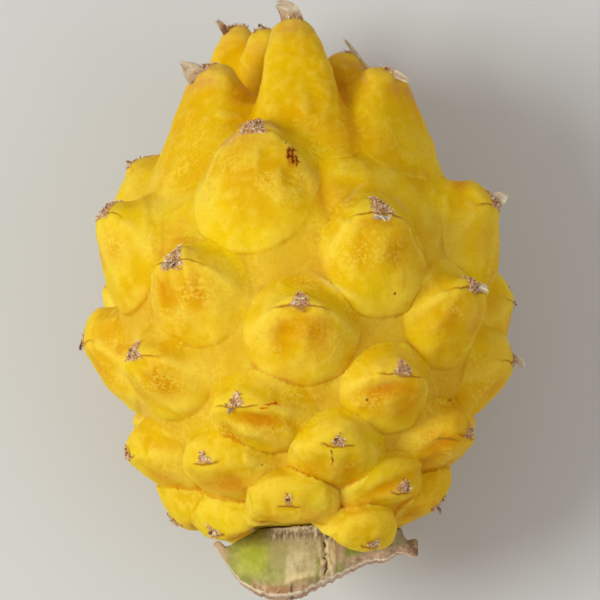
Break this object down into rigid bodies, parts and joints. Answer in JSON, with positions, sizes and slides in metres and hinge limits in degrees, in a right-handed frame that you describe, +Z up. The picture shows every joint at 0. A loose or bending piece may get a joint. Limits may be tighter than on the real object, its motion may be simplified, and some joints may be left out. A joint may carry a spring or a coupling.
{
  "type": "yellow dragon fruit",
  "caption": "Ripe yellow dragon fruit lying on its side, its skin in spirals of knobs with dried scale tips, with the slice of cactus stem it was cut with.",
  "frame": {"origin": "middle of the underside of the whole part's box, on the surface that it lies on", "axes": "+Y along the fruit from the stem end to the crown of bracts, +Z up, +X to the right seen from above with the crown at the top"},
  "size_m": [0.0788, 0.1096, 0.0747],
  "materials": {
    "fruit_skin": "waxy satin yellow skin, orange in the hollows, tan wool and dried scales at the knobs' tips",
    "cut_stem": "green cactus stem with a tan cracked corky patch and a dried cut edge"
  },
  "bodies": {
    "root": {"fruit": "fruit_skin", "stem_stub": "cut_stem"}
  },
  "joints": []
}
